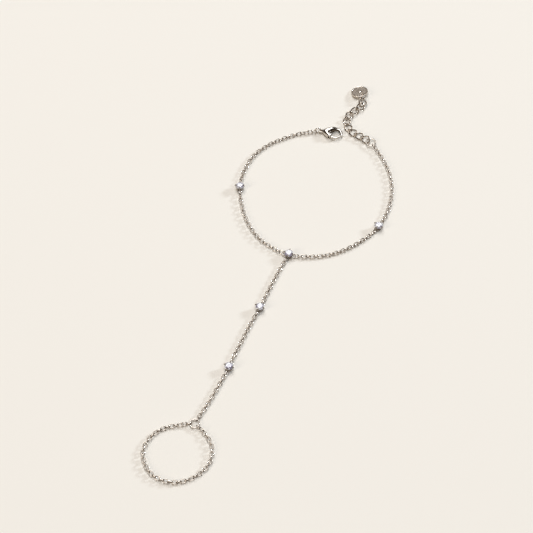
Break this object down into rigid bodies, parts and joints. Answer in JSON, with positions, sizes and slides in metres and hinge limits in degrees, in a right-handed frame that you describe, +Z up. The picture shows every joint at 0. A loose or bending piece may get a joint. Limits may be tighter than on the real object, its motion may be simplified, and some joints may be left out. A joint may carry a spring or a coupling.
{
  "type": "hand chain bracelet",
  "caption": "Fine cable chain round the wrist, joined over the back of the hand to a finger loop, with set round stones, a lobster clasp, a curb extender and a round tag.",
  "frame": {"origin": "centre of the footprint, on the surface that the bracelet lies on", "axes": "+X across the hand to the right, +Y along the hand chain from the fingers to the wrist, +Z up from the surface"},
  "size_m": [0.0791, 0.1538, 0.0028],
  "materials": {
    "metal": "polished silver with a rhodium plate",
    "stone": "clear cut stone"
  },
  "bodies": {
    "bracelet": {"chain_clasp_to_left": "metal", "chain_left_to_centre": "metal", "chain_centre_to_right": "metal", "chain_right_to_extender": "metal", "hand_chain_upper": "metal", "hand_chain_middle": "metal", "hand_chain_lower": "metal", "finger_chain": "metal", "extender_chain": "metal", "clasp_ring": "metal", "extender_ring": "metal", "finger_ring": "metal", "tag_ring": "metal", "tag_disc": "metal", "setting_left": "metal", "setting_centre": "metal", "setting_right": "metal", "setting_upper": "metal", "setting_lower": "metal", "stone_left": "stone", "stone_centre": "stone", "stone_right": "stone", "stone_upper": "stone", "stone_lower": "stone", "clasp_body": "metal"},
    "lever": {"clasp_lever": "metal"}
  },
  "joints": [
    {"name": "lever_hinge", "type": "hinge", "parent": "bracelet", "child": "lever", "pos_m": [0.01915, 0.05395, 0.001], "axis": [0, 0, 1], "range_deg": [0, 25], "stiffness_Nm_per_rad": 0.0001, "springref_deg": -20.05}
  ]
}
